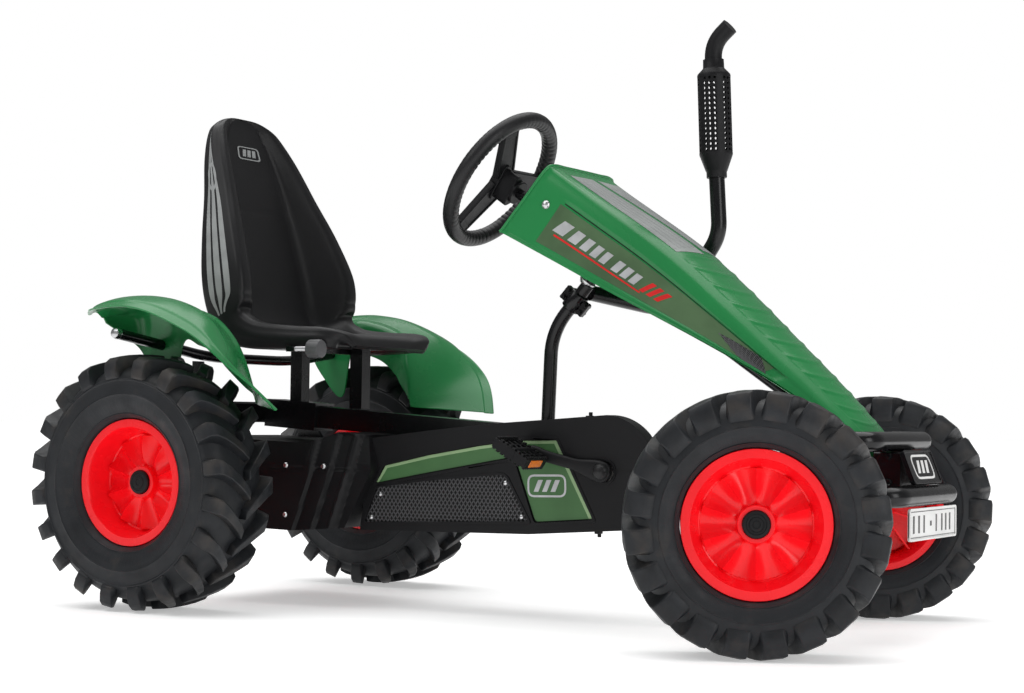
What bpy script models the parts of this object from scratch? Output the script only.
"""Pedal go kart, tractor style: steel beam frame, swinging front axle, chain drive, sliding seat.

Metres, +Z up, +X forward, +Y to the driver's left.  Lengths along X are given from the rear axle,
and the whole kart hangs on one empty that puts the middle of its footprint at the origin.
Wheels, steering wheel, pitman arm and track rod stand as they do with the front wheels turned
to the left by STEER_REST.
"""
import math

import bmesh
import bpy
from mathutils import Matrix, Vector

# ---------------------------------------------------------------- driving dimensions
REAR_AXLE_X = -0.5806          # rear axle, measured from the middle of the footprint
WHEELBASE = 1.152
HALF_TRACK = 0.3660            # middle of the kart to the middle of a straight wheel
REAR_TYRE_R = 0.231
REAR_TYRE_HALF_WIDTH = 0.080
FRONT_TYRE_R = 0.203
FRONT_TYRE_HALF_WIDTH = 0.070
RIM_R = 0.114
AXLE_R = 0.010
GAP = 0.0003                   # between pieces that touch

STEER_REST = math.radians(26.0)
KINGPIN_OFFSET = 0.080         # wheel middle to kingpin
STEERING_ARM = 0.100           # knuckle arm, and pitman arm
TRACK_ROD_Z = 0.2895
COLUMN_SLOPE = math.radians(34.4)
HUB_X, HUB_Z = 0.513, 0.796    # middle of the steering wheel
COLUMN_END_X = 1.110
WHEEL_RIM_R = 0.1276           # steering wheel, to the middle of its rim
WHEEL_GRIP_R = 0.015

BEAM_HALF_WIDTH = 0.025
BEAM_HEIGHT = 0.041
BEAM_TOP_Z = 0.3805            # beam's top, above the rear axle
BEAM_SLOPE = 0.065             # fall of the beam per metre ahead

CRANK_X, CRANK_Z = 0.795, 0.266
CRANK_LENGTH = 0.140
CRANK_REST = math.radians(167.5)   # right crank, from +X towards +Z
CRANK_ARM_Y = 0.1133
CHAIN_Y = 0.088
CHAIN_PITCH = 0.0127
CHAINRING_TEETH = 36
SPROCKET_TEETH = 18
PEDAL_INNER_Y, PEDAL_WIDTH = 0.131, 0.070
PEDAL_LENGTH, PEDAL_HEIGHT = 0.076, 0.024

DRIVE_COVER_Y = 0.110          # outer face of the chain case
DRIVE_COVER_INNER_Y = 0.078
REAR_COVER_Y = 0.160
COVER_WALL = 0.004
AXLE_PLATE_Y = 0.172
BUMPER_R = 0.0165
EXHAUST_R = 0.0145
EXHAUST_Y = 0.152

FRONT_AXLE_Z = FRONT_TYRE_R
REAR_AXLE_Z = REAR_TYRE_R
KINGPIN_Y = HALF_TRACK - KINGPIN_OFFSET
ROUND = 24                     # sides of an ordinary turned piece
WHEEL_ROUND = 32               # sides of a tyre and its rim
SIDES = {"right": -1, "left": 1}


# ---------------------------------------------------------------- scene, collections, materials
for old in list(bpy.data.objects):
    bpy.data.objects.remove(old, do_unlink=True)
kart = bpy.data.collections.new("pedal_go_kart")
cutters = bpy.data.collections.new("cutters")
bpy.context.scene.collection.children.link(kart)
bpy.context.scene.collection.children.link(cutters)


def material(name, colour, roughness, metallic=0.0):
    mat = bpy.data.materials.new(name)
    mat.use_nodes = True
    shader = mat.node_tree.nodes["Principled BSDF"]
    shader.inputs["Base Color"].default_value = (*colour, 1.0)
    shader.inputs["Roughness"].default_value = roughness
    shader.inputs["Metallic"].default_value = metallic
    return mat


GREEN = material("green_plastic", (0.03, 0.20, 0.06), 0.30)
BLACK = material("black_plastic", (0.02, 0.02, 0.022), 0.45)
FRAME = material("black_powder_coat", (0.015, 0.015, 0.016), 0.35)
TYRE = material("tyre_rubber", (0.025, 0.027, 0.03), 0.70)
RED = material("red_plastic", (0.60, 0.008, 0.012), 0.30)
STEEL = material("zinc_steel", (0.55, 0.56, 0.57), 0.35, 1.0)
GREY = material("grey_plastic", (0.16, 0.16, 0.17), 0.45)
WHITE = material("white_plate", (0.80, 0.80, 0.80), 0.40)


# ---------------------------------------------------------------- placing and making pieces
def empty(name, location, parent=None, rotation=(0.0, 0.0, 0.0)):
    pivot = bpy.data.objects.new(name, None)
    kart.objects.link(pivot)
    pivot.parent = parent
    pivot.location = location
    pivot.rotation_euler = rotation
    return pivot


def place(obj, mat, parent, location=(0.0, 0.0, 0.0), rotation=(0.0, 0.0, 0.0)):
    kart.objects.link(obj)
    obj.parent = parent
    obj.location = location
    obj.rotation_euler = rotation
    obj.data.materials.append(mat)
    return obj


def mesh_object(name, bm):
    mesh = bpy.data.meshes.new(name)
    bm.to_mesh(mesh)
    bm.free()
    return bpy.data.objects.new(name, mesh)


def box(name, low, high):
    """Box between two corners."""
    bm = bmesh.new()
    bmesh.ops.create_cube(bm, size=1.0)
    size = [b - a for a, b in zip(low, high)]
    middle = [(a + b) / 2 for a, b in zip(low, high)]
    bmesh.ops.scale(bm, vec=size, verts=bm.verts)
    bmesh.ops.translate(bm, vec=middle, verts=bm.verts)
    return mesh_object(name, bm)


def rod(name, start, end, radius, sides=ROUND):
    """Solid round bar between two points."""
    start, end = Vector(start), Vector(end)
    bm = bmesh.new()
    bmesh.ops.create_cone(bm, cap_ends=True, segments=sides, radius1=radius, radius2=radius,
                          depth=(end - start).length)
    turn = Vector((0, 0, 1)).rotation_difference(end - start).to_matrix().to_4x4()
    bmesh.ops.transform(bm, matrix=Matrix.Translation((start + end) / 2) @ turn, verts=bm.verts)
    return mesh_object(name, bm)


def turned(name, profile, steps=ROUND):
    """Profile of (radius, height) pairs, turned about local Z; a ring where it stays off the axis."""
    bm = bmesh.new()
    verts = [bm.verts.new((radius, 0.0, height)) for radius, height in profile]
    for a, b in zip(verts, verts[1:]):
        bm.edges.new((a, b))
    if min(radius for radius, height in profile) > 0:
        bm.edges.new((verts[-1], verts[0]))
    obj = mesh_object(name, bm)
    screw = obj.modifiers.new("Screw", "SCREW")
    screw.steps = steps
    screw.render_steps = steps
    screw.use_merge_vertices = True
    screw.merge_threshold = 0.00001
    return obj


def plate(name, loops, thickness, axis="Y"):
    """Flat outline (with any holes) extruded to a thickness, centred on its plane."""
    curve = bpy.data.curves.new(name, "CURVE")
    curve.dimensions = "2D"
    curve.fill_mode = "BOTH"
    curve.extrude = thickness / 2
    for loop in loops:
        spline = curve.splines.new("POLY")
        spline.points.add(len(loop) - 1)
        for point, (a, b) in zip(spline.points, loop):
            point.co = (a, b, 0.0, 1.0)
        spline.use_cyclic_u = True
    turn = {"Y": Matrix.Rotation(math.pi / 2, 4, "X"), "Z": Matrix()}[axis]
    return mesh_from(curve, name, turn)


def mesh_from(curve, name, matrix=Matrix()):
    """Mesh object of a curve, welded shut."""
    shape = bpy.data.objects.new(name + "_curve", curve)
    kart.objects.link(shape)
    bpy.context.view_layer.update()
    mesh = bpy.data.meshes.new_from_object(shape.evaluated_get(bpy.context.evaluated_depsgraph_get()))
    bpy.data.objects.remove(shape)
    bm = bmesh.new()
    bm.from_mesh(mesh)
    bmesh.ops.remove_doubles(bm, verts=bm.verts, dist=0.00001)
    bmesh.ops.transform(bm, matrix=matrix, verts=bm.verts)
    bmesh.ops.recalc_face_normals(bm, faces=bm.faces)
    mesh.name = name
    bm.to_mesh(mesh)
    bm.free()
    return bpy.data.objects.new(name, mesh)


def rounded(corners, radius, pieces=4):
    """Open path through the corners, each inner corner replaced by a short arc-like run."""
    points = [Vector(corners[0])]
    for before, corner, after in zip(corners, corners[1:], corners[2:]):
        before, corner, after = Vector(before), Vector(corner), Vector(after)
        start = corner + (before - corner).normalized() * radius
        end = corner + (after - corner).normalized() * radius
        for i in range(pieces + 1):
            t = i / pieces
            points.append(start * (1 - t) ** 2 + corner * 2 * t * (1 - t) + end * t ** 2)
    points.append(Vector(corners[-1]))
    return points


def tube(name, corners, radius, bend, sides_resolution=2):
    """Bent round tube with closed ends."""
    curve = bpy.data.curves.new(name, "CURVE")
    curve.dimensions = "3D"
    curve.bevel_depth = radius
    curve.bevel_resolution = sides_resolution
    curve.use_fill_caps = True
    points = rounded(corners, bend)
    spline = curve.splines.new("POLY")
    spline.points.add(len(points) - 1)
    for point, co in zip(spline.points, points):
        point.co = (*co, 1.0)
    return mesh_from(curve, name)


def combine(obj, other, operation):
    other.hide_render = True
    other.display_type = "WIRE"
    if not other.users_collection:
        cutters.objects.link(other)
    other.parent = obj
    step = obj.modifiers.new(operation.title(), "BOOLEAN")
    step.operation = operation
    step.object = other


def join(obj, *others):
    for other in others:
        combine(obj, other, "UNION")
    return obj


def cut(obj, *others):
    for other in others:
        combine(obj, other, "DIFFERENCE")
    return obj


def bevel(obj, width, segments=1):
    step = obj.modifiers.new("Bevel", "BEVEL")
    step.width = width
    step.segments = segments
    step.limit_method = "ANGLE"
    return obj


def arc(centre, radius, start, end, pieces=8):
    """Points on a circle, angles in degrees."""
    turns = [math.radians(start + (end - start) * i / pieces) for i in range(pieces + 1)]
    return [(centre[0] + radius * math.cos(t), centre[1] + radius * math.sin(t)) for t in turns]


def shell(name, rows, thickness, mirrored=False):
    """Open sheet through rows of points, given a wall thickness on its inner side."""
    bm = bmesh.new()
    grid = [[bm.verts.new(point) for point in row] for row in rows]
    for upper, lower in zip(grid, grid[1:]):
        for a, b, c, d in zip(upper, upper[1:], lower[1:], lower):
            bm.faces.new((a, b, c, d))
    obj = mesh_object(name, bm)
    if mirrored:
        mirror = obj.modifiers.new("Mirror", "MIRROR")
        mirror.use_axis = (False, True, False)
        mirror.merge_threshold = 0.00001
    wall = obj.modifiers.new("Solidify", "SOLIDIFY")
    wall.thickness = thickness
    wall.offset = -1.0
    wall.use_even_offset = False
    return obj


def between(table, x):
    """Straight-line reading of a table of (x, value) pairs."""
    for (x0, v0), (x1, v1) in zip(table, table[1:]):
        if x <= x1:
            return v0 + (v1 - v0) * (x - x0) / (x1 - x0)
    return table[-1][1]


def beam_top(x):
    return BEAM_TOP_Z - BEAM_SLOPE * x


# ---------------------------------------------------------------- frame
def build_frame(base):
    front = WHEELBASE
    outline = [
        (-0.030, beam_top(-0.030)), (0.660, beam_top(0.660)), (0.800, 0.330), (1.020, 0.270),
        (1.262, 0.268), (1.262, 0.236), (front + 0.048, 0.236), (front + 0.048, 0.184),
        (front + 0.026, 0.184), (front + 0.026, 0.233), (front - 0.026, 0.233), (front - 0.026, 0.184),
        (front - 0.050, 0.184), (front - 0.050, 0.231), (1.000, 0.231), (0.810, 0.2883),
        (0.760, 0.2883), (0.660, beam_top(0.660) - BEAM_HEIGHT), (-0.030, beam_top(-0.030) - BEAM_HEIGHT),
    ]
    beam = plate("main_beam", [outline], 2 * BEAM_HALF_WIDTH)
    pivot = (front - 0.062, 0, FRONT_AXLE_Z), (front + 0.062, 0, FRONT_AXLE_Z)
    cut(beam, rod("pivot_hole", *pivot, 0.0068))
    place(beam, FRAME, base)
    bolt = rod("front_pivot_bolt", pivot[0], pivot[1], 0.006)
    join(bolt, rod("pivot_head", pivot[1], (front + 0.070, 0, FRONT_AXLE_Z), 0.010, 6))
    place(bolt, STEEL, base)

    cross = box("rear_cross_beam", (-0.0705, -0.205, 0.3400), (-0.0303, 0.205, 0.3800))
    place(bevel(cross, 0.004), FRAME, base)
    place(rod("bottom_bracket_shell", (CRANK_X, -0.030, CRANK_Z), (CRANK_X, 0.030, CRANK_Z), 0.022),
          FRAME, base)
    cut(bpy.data.objects["bottom_bracket_shell"],
        rod("spindle_bore", (CRANK_X, -0.04, CRANK_Z), (CRANK_X, 0.04, CRANK_Z), 0.0090))

    for side, sign in SIDES.items():
        outline = [(-0.070, 0.3397), (-0.032, 0.3397), *arc((0, REAR_AXLE_Z), 0.040, 35, -150), (-0.070, 0.262)]
        hole = arc((0, REAR_AXLE_Z), 0.0203, 0, 345, 23)
        axle_plate = plate("axle_plate_" + side, [outline, hole], 0.006)
        place(axle_plate, FRAME, base, (0, sign * (AXLE_PLATE_Y + 0.003), 0))
        ring = turned("rear_bearing_" + side, [(0.0104, 0.008), (0.0199, 0.008), (0.0199, -0.008), (0.0104, -0.008)])
        place(ring, STEEL, base, (0, sign * (AXLE_PLATE_Y + 0.003), REAR_AXLE_Z), (math.pi / 2, 0, 0))


# ---------------------------------------------------------------- covers and chain
def build_covers(base):
    nose = arc((CRANK_X, CRANK_Z), 0.098, 90, 0) + arc((0.858, 0.2060), 0.035, 0, -80, 5)
    outline = [(0.285, 0.3125), (0.434, 0.331), (0.583, 0.347), (0.687, 0.355), *nose,
               (0.832, 0.166), (0.645, 0.152), (0.285, 0.1450), (0.300, 0.257)]
    wall = COVER_WALL
    inner = arc((CRANK_X, CRANK_Z), 0.098 - wall, 90, 0) + arc((0.858, 0.2060), 0.035 - wall, 0, -80, 5)
    hollow = [(0.27, 0.3110 - wall), (0.434, 0.331 - wall), (0.583, 0.347 - wall), (0.687, 0.355 - wall),
              *inner, (0.832, 0.166 + wall), (0.645, 0.152 + wall), (0.27, 0.1450 + wall)]
    short = [(0.285, 0.3125), (0.434, 0.331), (0.583, 0.347), (0.650, 0.3515), (0.694, 0.3450),
             (0.738, 0.3000), (0.752, 0.2400), (0.742, 0.1800), (0.722, 0.1580), (0.645, 0.152),
             (0.285, 0.1450), (0.300, 0.257)]
    short_hollow = [(0.27, 0.3110 - wall), (0.434, 0.331 - wall), (0.583, 0.347 - wall), (0.648, 0.3475),
                    (0.691, 0.3410), (0.734, 0.2985), (0.748, 0.2400), (0.738, 0.1815), (0.720, 0.1625),
                    (0.645, 0.152 + wall), (0.27, 0.1450 + wall)]
    depth = DRIVE_COVER_Y - DRIVE_COVER_INNER_Y
    middle = (DRIVE_COVER_Y + DRIVE_COVER_INNER_Y) / 2
    reach = DRIVE_COVER_INNER_Y + wall
    strap_y = BEAM_HALF_WIDTH + GAP
    for side, sign in SIDES.items():
        case, cavity = (outline, hollow) if side == "right" else (short, short_hollow)
        cover = plate("drive_cover_" + side, [case], depth)
        cavity = plate("drive_hollow_" + side, [cavity], depth)
        cavity.location = (0, -sign * wall, 0)
        cut(cover, cavity)
        if side == "right":
            cut(cover, rod("spindle_hole", (CRANK_X, -0.1, CRANK_Z), (CRANK_X, 0.1, CRANK_Z), 0.018))
        near, far = sorted((sign * strap_y - sign * middle, sign * reach - sign * middle))
        strap = box("strap_foot_" + side, (0.500, near, 0.1505), (0.520, far, 0.1560))
        near, far = sorted((sign * strap_y - sign * middle, sign * (strap_y + 0.005) - sign * middle))
        join(strap, box("strap_" + side, (0.500, near, 0.1505), (0.520, far, 0.3300)))
        join(cover, strap)
        place(cover, BLACK, base, (0, sign * middle, 0))

    outer = [(-0.100, 0.314), (0.190, 0.304), (0.252, 0.3255), (0.306, 0.3215), (0.325, 0.257),
             (0.267, 0.149), (0.164, 0.141), (-0.100, 0.146)]
    hollow = [(-0.096, 0.310), (0.190, 0.300), (0.252, 0.3215), (0.303, 0.3180), (0.321, 0.257),
              (0.265, 0.153), (0.164, 0.145), (-0.096, 0.150)]
    cover = plate("rear_cover", [outer], 2 * REAR_COVER_Y)
    slot = BEAM_HALF_WIDTH + GAP
    cut(cover, plate("rear_hollow", [hollow], 2 * (REAR_COVER_Y - COVER_WALL)),
        rod("axle_hole", (0, -0.2, REAR_AXLE_Z), (0, 0.2, REAR_AXLE_Z), 0.022),
        box("drive_passage", (0.262, -DRIVE_COVER_Y - 0.001, 0.120), (0.340, DRIVE_COVER_Y + 0.001, 0.3170)),
        box("beam_slot", (0.200, -slot, 0.3100), (0.340, slot, 0.3400)))
    place(cover, BLACK, base)

    ring_r = CHAIN_PITCH / (2 * math.sin(math.pi / CHAINRING_TEETH)) + 0.006
    cog_r = CHAIN_PITCH / (2 * math.sin(math.pi / SPROCKET_TEETH)) + 0.006
    loops = []
    for grow in (0.0, 0.008):
        front = arc((CRANK_X, CRANK_Z), ring_r + grow, 93, -88, 16)
        rear = arc((0, REAR_AXLE_Z), cog_r + grow, 268, 96, 12)
        loops.append(front + rear)
    place(plate("drive_chain", loops, 0.008), STEEL, base, (0, -CHAIN_Y, 0))


# ---------------------------------------------------------------- wheels
def tyre_profile(radius, half_width):
    bead = RIM_R + GAP
    depth = radius - bead
    side = [(bead, 0.62 * half_width), (bead + 0.22 * depth, 0.93 * half_width),
            (bead + 0.55 * depth, half_width), (bead + 0.84 * depth, 0.95 * half_width),
            (radius, 0.74 * half_width)]
    return side + [(r, -z) for r, z in reversed(side)]


def rim_profile(half_width, web):
    """Pressed plastic rim: outer flange, dish, web and hub."""
    bore = AXLE_R + GAP + 0.0001
    return [(bore, web + 0.014), (0.0285, web + 0.014), (0.0285, web + 0.006), (0.080, web),
            (0.097, half_width), (RIM_R, half_width), (RIM_R, -half_width), (0.102, -half_width),
            (0.090, web - 0.010), (0.028, web - 0.008), (0.028, -0.036), (bore, -0.036)]


def build_wheel(name, sign, base, radius, half_width, rim_half_width, web):
    """Wheel on the local Y axis of its empty, its outer side towards sign * Y."""
    turn = (-sign * math.pi / 2, 0, 0)
    place(turned("tyre_" + name, tyre_profile(radius, half_width), WHEEL_ROUND), TYRE, base, (0, 0, 0), turn)
    place(turned("rim_" + name, rim_profile(rim_half_width, web), WHEEL_ROUND), RED, base, (0, 0, 0), turn)
    low = web + 0.014 + GAP
    cap = turned("hub_cap_" + name, [(0, low + 0.012), (0.014, low + 0.011), (0.021, low + 0.006),
                                     (0.021, low), (0, low)], 24)
    place(cap, BLACK, base, (0, 0, 0), turn)


def build_rear_axle(base):
    reach = HALF_TRACK + REAR_WEB + 0.014
    axis = empty("rear_axle_axis", (0, 0, REAR_AXLE_Z), base)
    place(rod("rear_axle", (0, -reach, 0), (0, reach, 0), AXLE_R, 24), STEEL, axis)
    teeth_r = CHAIN_PITCH / (2 * math.sin(math.pi / SPROCKET_TEETH)) + 0.004
    bore = AXLE_R + GAP + 0.0001
    profile = [(bore, 0.030), (0.016, 0.030), (0.016, 0.002), (teeth_r, 0.002), (teeth_r, -0.002),
               (0.030, -0.002), (0.030, -0.050), (bore, -0.050)]
    place(turned("rear_sprocket", profile), STEEL, axis, (0, -CHAIN_Y, 0), (math.pi / 2, 0, 0))
    for side, sign in SIDES.items():
        spin = empty("rear_wheel_spin_" + side, (0, sign * HALF_TRACK, REAR_AXLE_Z), base)
        build_wheel("rear_" + side, sign, spin, REAR_TYRE_R, REAR_TYRE_HALF_WIDTH, 0.058, REAR_WEB)


REAR_WEB = 0.012
FRONT_WEB = 0.022


# ---------------------------------------------------------------- front axle and steering
def build_front_axle(base):
    x, z = WHEELBASE, FRONT_AXLE_Z
    axle = box("front_axle_beam", (x - 0.017, -KINGPIN_Y, z - 0.017), (x + 0.017, KINGPIN_Y, z + 0.017))
    for side, sign in SIDES.items():
        y = sign * KINGPIN_Y
        join(axle, rod("sleeve_" + side, (x, y, z - 0.035), (x, y, z + 0.035), 0.0175))
    for side, sign in SIDES.items():
        y = sign * KINGPIN_Y
        cut(axle, rod("sleeve_bore_" + side, (x, y, z - 0.05), (x, y, z + 0.05), 0.0076))
    cut(axle, rod("swing_bore", (x - 0.03, 0, z), (x + 0.03, 0, z), 0.0068))
    place(axle, FRAME, base)

    for side, sign in SIDES.items():
        kingpin = empty("kingpin_axis_" + side, (x, sign * KINGPIN_Y, z), base, (0, 0, STEER_REST))
        build_knuckle(side, sign, kingpin)
        spin = empty("front_wheel_spin_" + side, (0, sign * KINGPIN_OFFSET, 0), kingpin)
        build_wheel("front_" + side, sign, spin, FRONT_TYRE_R, FRONT_TYRE_HALF_WIDTH, 0.050, FRONT_WEB)


def build_knuckle(side, sign, kingpin):
    """C-shaped knuckle round the axle's sleeve, with its stub axle and steering arm."""
    def across(a, b):
        return min(sign * a, sign * b), max(sign * a, sign * b)

    out0, out1 = across(-0.016, 0.031)
    post0, post1 = across(0.0185, 0.031)
    knuckle = box("knuckle_" + side, (-0.016, out0, 0.0355), (0.016, out1, 0.0435))
    lower = box("lower_ear_" + side, (-0.0155, out0, -0.0435), (0.0155, out1, -0.0355))
    post = box("upright_" + side, (-0.0150, post0, -0.0430), (0.0150, post1, 0.0430))
    arm = box("steering_arm_" + side, (-STEERING_ARM - 0.009, -0.009, 0.0360), (-0.010, 0.009, 0.0430))
    boss_top = TRACK_ROD_Z - FRONT_AXLE_Z - 0.0075
    boss = rod("arm_boss_" + side, (-STEERING_ARM, 0, 0.0365), (-STEERING_ARM, 0, boss_top), 0.0075, 16)
    stub = rod("stub_" + side, (0, sign * 0.030, 0), (0, sign * (KINGPIN_OFFSET + FRONT_WEB + 0.014), 0), AXLE_R, 24)
    join(knuckle, lower, post, arm, boss, stub)
    cut(knuckle, rod("pin_hole_" + side, (0, 0, -0.06), (0, 0, 0.06), 0.0076))
    place(knuckle, FRAME, kingpin)
    pin = rod("kingpin_" + side, (0, 0, -0.049), (0, 0, 0.046), 0.0070)
    join(pin, rod("pin_head_" + side, (0, 0, 0.0440), (0, 0, 0.0500), 0.011, 6))
    place(pin, STEEL, kingpin)


def build_track_rod(base):
    """Rod between the knuckle arms, lying across the kart behind the front axle."""
    x = WHEELBASE - STEERING_ARM * math.cos(STEER_REST)
    shift = -STEERING_ARM * math.sin(STEER_REST)
    pivot = empty("track_rod_axis", (x, -KINGPIN_Y + shift, TRACK_ROD_Z), base)
    length = 2 * KINGPIN_Y
    bar = rod("track_rod", (0, 0, 0), (0, length, 0), 0.0055, 16)
    join(bar, rod("eye_right", (0, 0, -0.0072), (0, 0, 0.0070), 0.0095, 20),
         rod("eye_left", (0, length, -0.0072), (0, length, 0.0070), 0.0095, 20),
         box("socket_plate", (-0.013, length / 2 - 0.026, -0.0030), (0.013, length / 2 + 0.026, 0.0030)))
    place(bar, STEEL, pivot)


def build_steering(base):
    """Steering wheel and column; local Z runs up the column to the driver, local X up the wheel."""
    tilt = (0, COLUMN_SLOPE - math.pi / 2, 0)
    column_axis = empty("column_axis", (HUB_X, 0, HUB_Z), base, tilt)
    turn = empty("steering_turn", (0, 0, 0), column_axis, (0, 0, STEER_REST))
    length = (COLUMN_END_X - HUB_X) / math.cos(COLUMN_SLOPE)

    bpy.ops.mesh.primitive_torus_add(major_radius=WHEEL_RIM_R, minor_radius=WHEEL_GRIP_R,
                                     major_segments=40, minor_segments=10)
    grip = bpy.context.object
    for collection in list(grip.users_collection):
        collection.objects.unlink(grip)
    grip.name = "steering_wheel_rim"
    place(grip, BLACK, turn)

    hub = rod("steering_wheel_hub", (0, 0, -0.022), (0, 0, 0.010), 0.030)
    for i, angle in enumerate((180, 60, -60)):
        spoke = box("spoke_%d" % i, (0.022, -0.015, -0.005), (0.1103, 0.015, 0.004))
        spoke.rotation_euler = (0, 0, math.radians(angle))
        join(hub, spoke)
    place(hub, BLACK, turn)

    column = rod("steering_column", (0, 0, -0.0223), (0, 0, -length), 0.0095, 24)
    arm = box("pitman_arm", (-STEERING_ARM, -0.010, -length - 0.001), (0.012, 0.010, -length + 0.005))
    place(join(column, arm), STEEL, turn)


def column_point(x):
    return Vector((x, 0, HUB_Z - (x - HUB_X) * math.tan(COLUMN_SLOPE)))


def build_column_support(base):
    """Bar from the beam that holds the column's bearing up inside the hood."""
    foot = (0.620, 0, beam_top(0.620) + GAP + 0.0002)
    knee, top = Vector((0.626, 0, 0.515)), Vector((0.7000, 0, 0.5980))
    place(tube("hood_support_bar", [foot, tuple(knee), top], 0.0125, 0.045, 4), FRAME, base)
    along = (top - knee).normalized()
    reach = (column_point(top.x).z - top.z) / (along.z + along.x * math.tan(COLUMN_SLOPE))
    middle = top + along * reach
    run = (column_point(1.0) - column_point(0.9)).normalized()
    bracket = rod("column_bearing", middle - run * 0.024, middle + run * 0.024, 0.021)
    join(bracket, rod("bearing_stem", top + along * GAP, middle, 0.0095, 20))
    cut(bracket, rod("column_bore", middle - run * 0.05, middle + run * 0.05, 0.0101, 24))
    place(bracket, STEEL, base)


# ---------------------------------------------------------------- drive: cranks and pedals
def build_cranks(base):
    axis = empty("crank_axis", (CRANK_X, 0, CRANK_Z), base)
    place(rod("crank_spindle", (0, -0.1130, 0), (0, 0.1130, 0), 0.0085, 24), STEEL, axis)
    ring_r = CHAIN_PITCH / (2 * math.sin(math.pi / CHAINRING_TEETH)) + 0.004
    profile = [(0.0088, 0.006), (0.020, 0.006), (0.020, 0.002), (ring_r, 0.002), (ring_r, -0.002),
               (0.0088, -0.002)]
    place(turned("chainring", profile), STEEL, axis, (0, -CHAIN_Y, 0), (math.pi / 2, 0, 0))
    for side, sign in SIDES.items():
        angle = CRANK_REST if side == "right" else CRANK_REST + math.pi
        end = Vector((CRANK_LENGTH * math.cos(angle), 0, CRANK_LENGTH * math.sin(angle)))
        build_crank_arm(side, sign, axis, angle, end)


def build_crank_arm(side, sign, axis, angle, end):
    outline = arc((0, 0), 0.018, 90, 270) + arc((CRANK_LENGTH, 0), 0.013, -90, 90)
    arm = plate("crank_arm_" + side, [outline], 0.012)
    pin = rod("pedal_pin_" + side, (CRANK_LENGTH, sign * 0.004, 0), (CRANK_LENGTH, sign * 0.080, 0), 0.0060, 16)
    join(arm, pin)
    place(arm, FRAME, axis, (0, sign * (CRANK_ARM_Y + 0.006), 0), (0, -angle, 0))

    pedal_axis = empty("pedal_axis_" + side, end, axis)
    near, far = sign * PEDAL_INNER_Y, sign * (PEDAL_INNER_Y + PEDAL_WIDTH)
    half_l, half_h = PEDAL_LENGTH / 2, PEDAL_HEIGHT / 2
    pedal = box("pedal_" + side, (-half_l, min(near, far), -half_h), (half_l, max(near, far), half_h))
    bevel(pedal, 0.004)
    cut(pedal, rod("pedal_bore_" + side, (0, near * 0.9, 0), (0, far * 1.1, 0), 0.0067, 16))
    tilt = math.radians(30.0 if side == "right" else 35.0)
    place(pedal, BLACK, pedal_axis, (0, 0, 0), (0, tilt, 0))


# ---------------------------------------------------------------- seat
SEAT_LINE = [(0.279, 0.492), (0.268, 0.506), (0.234, 0.512), (0.160, 0.509), (0.080, 0.509),
             (0.030, 0.522), (0.004, 0.560), (-0.010, 0.620), (-0.028, 0.700), (-0.048, 0.780),
             (-0.070, 0.860), (-0.085, 0.920), (-0.092, 0.946)]
SEAT_HALF_WIDTHS = [0.120, 0.150, 0.172, 0.182, 0.186, 0.190, 0.202, 0.208, 0.186, 0.154,
                    0.126, 0.098, 0.062]
SEAT_BOLSTERS = [0.000, 0.004, 0.008, 0.014, 0.022, 0.036, 0.050, 0.054, 0.046, 0.034, 0.022, 0.012, 0.004]


def build_seat(base):
    """One-piece high-back shell on a post frame that slides along the beam."""
    columns = [-1.0, -0.85, -0.60, -0.30, 0.0, 0.30, 0.60, 0.85, 1.0]
    rows = []
    for i, ((x, z), half_width, bolster) in enumerate(zip(SEAT_LINE, SEAT_HALF_WIDTHS, SEAT_BOLSTERS)):
        before, after = SEAT_LINE[max(i - 1, 0)], SEAT_LINE[min(i + 1, len(SEAT_LINE) - 1)]
        run = Vector((after[0] - before[0], after[1] - before[1])).normalized()
        rise = Vector((run.y, -run.x)) * bolster
        rows.append([(x + rise.x * v ** 4, half_width * v, z + rise.y * v ** 4) for v in columns])
    seat = shell("seat_shell", rows, 0.016)
    place(seat, BLACK, base)

    slope = math.atan(BEAM_SLOPE)
    axis = empty("seat_slide_axis", (0.060, 0, beam_top(0.060) - BEAM_HEIGHT / 2), base)
    top = 0.4925
    floor = axis.location.z
    frame = box("seat_frame", (-0.035, -0.050, top - 0.010 - floor), (0.165, 0.050, top - floor))
    carriage = box("carriage", (-0.060, -0.0310, -0.0265), (0.060, 0.0310, 0.0265))
    carriage.rotation_euler = (0, slope, 0)
    channel = box("carriage_channel", (-0.10, -BEAM_HALF_WIDTH - 0.0005, -BEAM_HEIGHT / 2 - 0.0005),
                  (0.10, BEAM_HALF_WIDTH + 0.0005, BEAM_HEIGHT / 2 + 0.0005))
    channel.rotation_euler = (0, slope, 0)
    post_front_foot = beam_top(0.203) + 0.0018 - floor
    join(frame, carriage,
         box("post_rear", (-0.0135, -0.0130, 0.0240), (0.0135, 0.0130, top - 0.005 - floor)),
         box("post_front", (0.1290, -0.0140, post_front_foot), (0.1570, 0.0140, top - 0.005 - floor)),
         box("lever_arm", (0.1100, -0.1930, top - 0.0195 - floor), (0.1260, 0.0, top - 0.0095 - floor)))
    cut(frame, channel)
    place(frame, FRAME, axis)

    knob_axis = empty("seat_knob_axis", (0.1863, -0.1850, 0.4780), base)
    profile = [(0, 0.0600), (0.0150, 0.0600), (0.0175, 0.0575), (0.0175, 0.0330), (0.0150, 0.0300),
               (0.0050, 0.0300), (0.0050, 0.0), (0, 0.0)]
    knob = turned("seat_clamp_knob", profile, 24)
    place(knob, GREY, knob_axis, (0, 0, 0), (0, math.pi / 2, 0))


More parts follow.
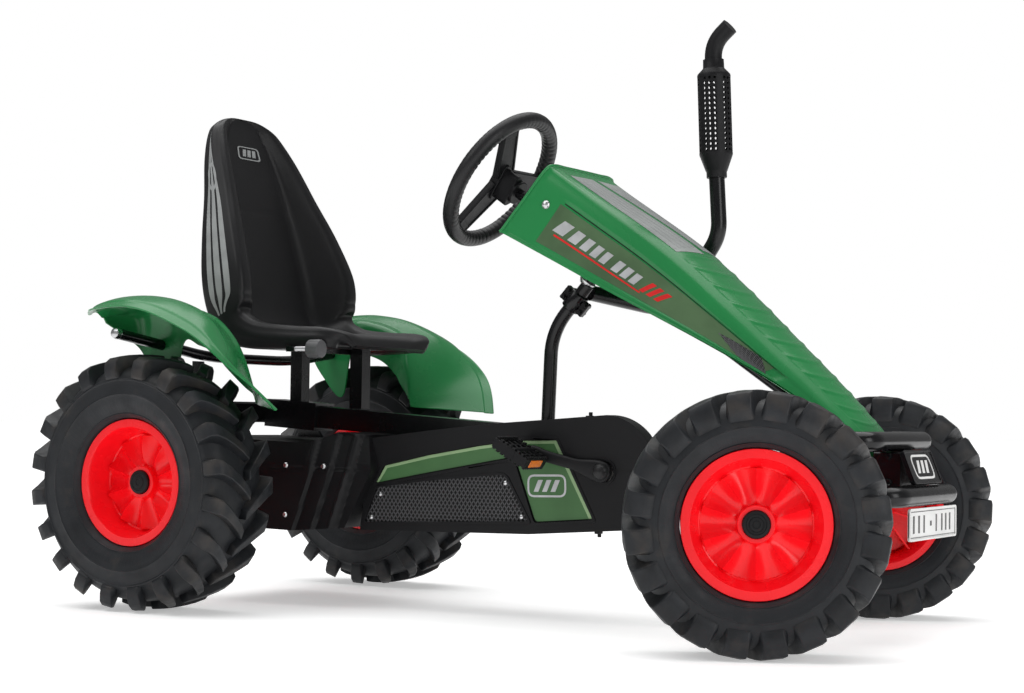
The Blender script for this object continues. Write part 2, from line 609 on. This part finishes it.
# ---------------------------------------------------------------- hood, bumper, exhaust
HOOD_STATIONS = [  # shoulder x, z, half width; lower edge x, z, half width; crown height
    (0.683, 0.8030, 0.125, 0.600, 0.6845, 0.145, 0.008),
    (0.785, 0.7270, 0.120, 0.720, 0.6230, 0.138, 0.012),
    (0.862, 0.6720, 0.115, 0.800, 0.5810, 0.132, 0.018),
    (0.929, 0.6180, 0.108, 0.875, 0.5430, 0.126, 0.024),
    (1.006, 0.5485, 0.100, 0.960, 0.5010, 0.118, 0.026),
    (1.075, 0.4840, 0.091, 1.040, 0.4590, 0.108, 0.026),
    (1.143, 0.4230, 0.082, 1.112, 0.4180, 0.097, 0.024),
    (1.205, 0.3680, 0.074, 1.172, 0.3750, 0.085, 0.018),
    (1.246, 0.3250, 0.069, 1.212, 0.3250, 0.076, 0.010),
    (1.255, 0.2725, 0.066, 1.232, 0.2725, 0.070, 0.002),
]


def build_hood(base):
    rows = []
    for sx, sz, s_half, bx, bz, b_half, crown in HOOD_STATIONS:
        shoulder, lower = Vector((sx, -s_half, sz)), Vector((bx, -b_half, bz))
        up = Vector((math.sin(COLUMN_SLOPE), 0, math.cos(COLUMN_SLOPE)))
        rows.append([lower, lower.lerp(shoulder, 0.5), lower.lerp(shoulder, 0.92),
                     shoulder + Vector((0, s_half * 0.14, 0)) + up * crown * 0.30,
                     shoulder + Vector((0, s_half * 0.50, 0)) + up * crown * 0.80,
                     shoulder + Vector((0, s_half, 0)) + up * crown])
    rows = [list(reversed(row)) for row in rows]
    place(shell("hood", rows, 0.0035, mirrored=True), GREEN, base)


def build_bumper(base):
    for name, x, z, back in (("upper", 1.285, 0.327, 0.060), ("lower", 1.330, 0.2395, 0.080)):
        path = [(x - back, -0.137, z), (x, -0.137, z), (x, 0.137, z), (x - back, 0.137, z)]
        place(tube("bumper_tube_" + name, path, BUMPER_R, 0.028, 4), FRAME, base)
    block = box("bumper_bracket", (1.2625, -0.060, 0.2500), (1.3112, 0.060, 0.3101))
    place(bevel(block, 0.002), FRAME, base)
    badge = box("bumper_plate", (-0.002, -0.067, -0.029), (0.002, 0.067, 0.029))
    place(bevel(badge, 0.001), BLACK, base, (1.3245, 0, 0.2860), (0, math.radians(-22), 0))
    number = box("number_plate", (1.3420, -0.115, 0.1690), (1.3450, 0.115, 0.2226))
    place(bevel(number, 0.001), WHITE, base)


def build_exhaust(base):
    foot = Vector((0.8810, EXHAUST_Y, 0.7985))
    top = Vector((0.8715, EXHAUST_Y, 1.0165))
    path = [(0.6940, 0.0190, 0.5845), (0.757, EXHAUST_Y, 0.5640), (0.8020, EXHAUST_Y, 0.5660),
            (0.8875, EXHAUST_Y, 0.6950), tuple(foot)]
    place(tube("exhaust_pipe", path, EXHAUST_R, 0.022, 4), FRAME, base)
    length = (top - foot).length - 2 * GAP
    profile = [(0, length), (0.0190, length), (0.0305, length - 0.031),
               (0.0305, 0.043), (0.0190, 0.012), (0.0190, 0.0), (0, 0.0)]
    lean = -math.atan2(foot.x - top.x, top.z - foot.z)
    place(turned("exhaust_muffler", profile), BLACK, base, foot + Vector((0, 0, 3 * GAP)), (0, lean, 0))
    tip = [top + Vector((0, 0, 0.0008)), (0.8705, EXHAUST_Y, 1.0460), (0.9020, EXHAUST_Y, 1.0740)]
    place(tube("exhaust_tip", tip, 0.0160, 0.022, 4), BLACK, base)


# ---------------------------------------------------------------- fenders
FENDER_STATIONS = [  # crest x, z; outer lip drop and y; inner edge x, z and y; slant of the row
    (-0.139, 0.5410, 0.004, 0.385, -0.133, 0.5220, 0.345),
    (-0.112, 0.5560, 0.014, 0.415, -0.112, 0.4800, 0.280),
    (-0.075, 0.5650, 0.020, 0.432, -0.080, 0.4350, 0.272),
    (-0.035, 0.5680, 0.021, 0.440, -0.030, 0.3950, 0.270),
    (0.000, 0.5670, 0.021, 0.443, -0.008, 0.4880, 0.270),
    (0.045, 0.5600, 0.022, 0.445, 0.030, 0.4820, 0.271),
    (0.090, 0.5465, 0.024, 0.445, 0.068, 0.4680, 0.274),
    (0.138, 0.5280, 0.026, 0.445, 0.098, 0.4420, 0.278),
    (0.168, 0.5110, 0.026, 0.444, 0.118, 0.4200, 0.270),
    (0.198, 0.4870, 0.024, 0.440, 0.134, 0.4040, 0.264),
    (0.228, 0.4540, 0.018, 0.428, 0.143, 0.3960, 0.259),
    (0.256, 0.4160, 0.010, 0.402, 0.147, 0.3910, 0.256),
    (0.278, 0.3810, 0.002, 0.365, 0.150, 0.3870, 0.255),
]
FENDER_SKEWS = [0.0] * 6 + [0.25, 0.55, 0.80, 0.95, 1.0, 1.0, 1.0]      # pull of the row's x onto its chord
FENDER_SLANTS = [0.0] * 7 + [0.05, 0.15, 0.30, 0.50, 0.75, 1.0]          # pull of its height
FENDER_CREST_Y = 0.365
FENDER_BAR = [(-0.060, 0.405, 0.5010), (-0.060, 0.130, 0.4640)]
FENDER_BAR_R = 0.0100


def build_fenders(base):
    for side, sign in SIDES.items():
        rows = []
        for (cx, cz, drop, lip_y, ix, iz, inner_y), skew, slant in zip(FENDER_STATIONS, FENDER_SKEWS, FENDER_SLANTS):
            crest_y = min(FENDER_CREST_Y, (lip_y + inner_y) / 2 + 0.01)
            row = [(cx, sign * lip_y, cz - drop), (cx, sign * (lip_y * 0.6 + crest_y * 0.4), cz - drop * 0.35),
                   (cx, sign * crest_y, cz), (cx - 0.002, sign * (crest_y * 0.45 + inner_y * 0.55), cz - 0.010),
                   (cx * 0.75 + ix * 0.25, sign * (inner_y + 0.006), cz * 0.72 + iz * 0.28),
                   (ix, sign * inner_y, iz)]
            lip, inner = Vector(row[0]), Vector(row[-1])
            chord = [lip.lerp(inner, (abs(y) - lip_y) / (inner_y - lip_y)) for _, y, _ in row]
            row = [(x + (c.x - x) * skew, y, z + (c.z - z) * slant) for (x, y, z), c in zip(row, chord)]
            rows.append(row if sign < 0 else list(reversed(row)))
        fender = shell("fender_" + side, rows, 0.003)
        outer, inner = [Vector((x, sign * y, z)) for x, y, z in FENDER_BAR]
        cut(fender, rod("bar_hole_" + side, outer.lerp(inner, 0.3), inner, FENDER_BAR_R + 0.0006, 16))
        place(fender, GREEN, base)
    (x, end_y, end_z), (_, knee_y, knee_z) = FENDER_BAR
    path = [(x, -end_y, end_z), (x, -knee_y, knee_z), (x, knee_y, knee_z), (x, end_y, end_z)]
    place(tube("fender_bar", path, FENDER_BAR_R, 0.030, 4), FRAME, base)
    for side, sign in SIDES.items():
        near, far = sorted((sign * 0.150, sign * 0.180))
        bracket = box("fender_bracket_" + side, (x - 0.0025, near, 0.3803), (x + 0.0025, far, 0.4560))
        place(bracket, STEEL, base)


def main():
    base = empty("rear_axle_ground", (REAR_AXLE_X, 0, 0))
    build_frame(base)
    build_covers(base)
    build_rear_axle(base)
    build_front_axle(base)
    build_track_rod(base)
    build_steering(base)
    build_column_support(base)
    build_cranks(base)
    build_seat(base)
    build_hood(base)
    build_bumper(base)
    build_exhaust(base)
    build_fenders(base)
    for obj in kart.objects:
        if obj.type == "MESH":
            obj.data.set_sharp_from_angle(angle=math.radians(35))


main()
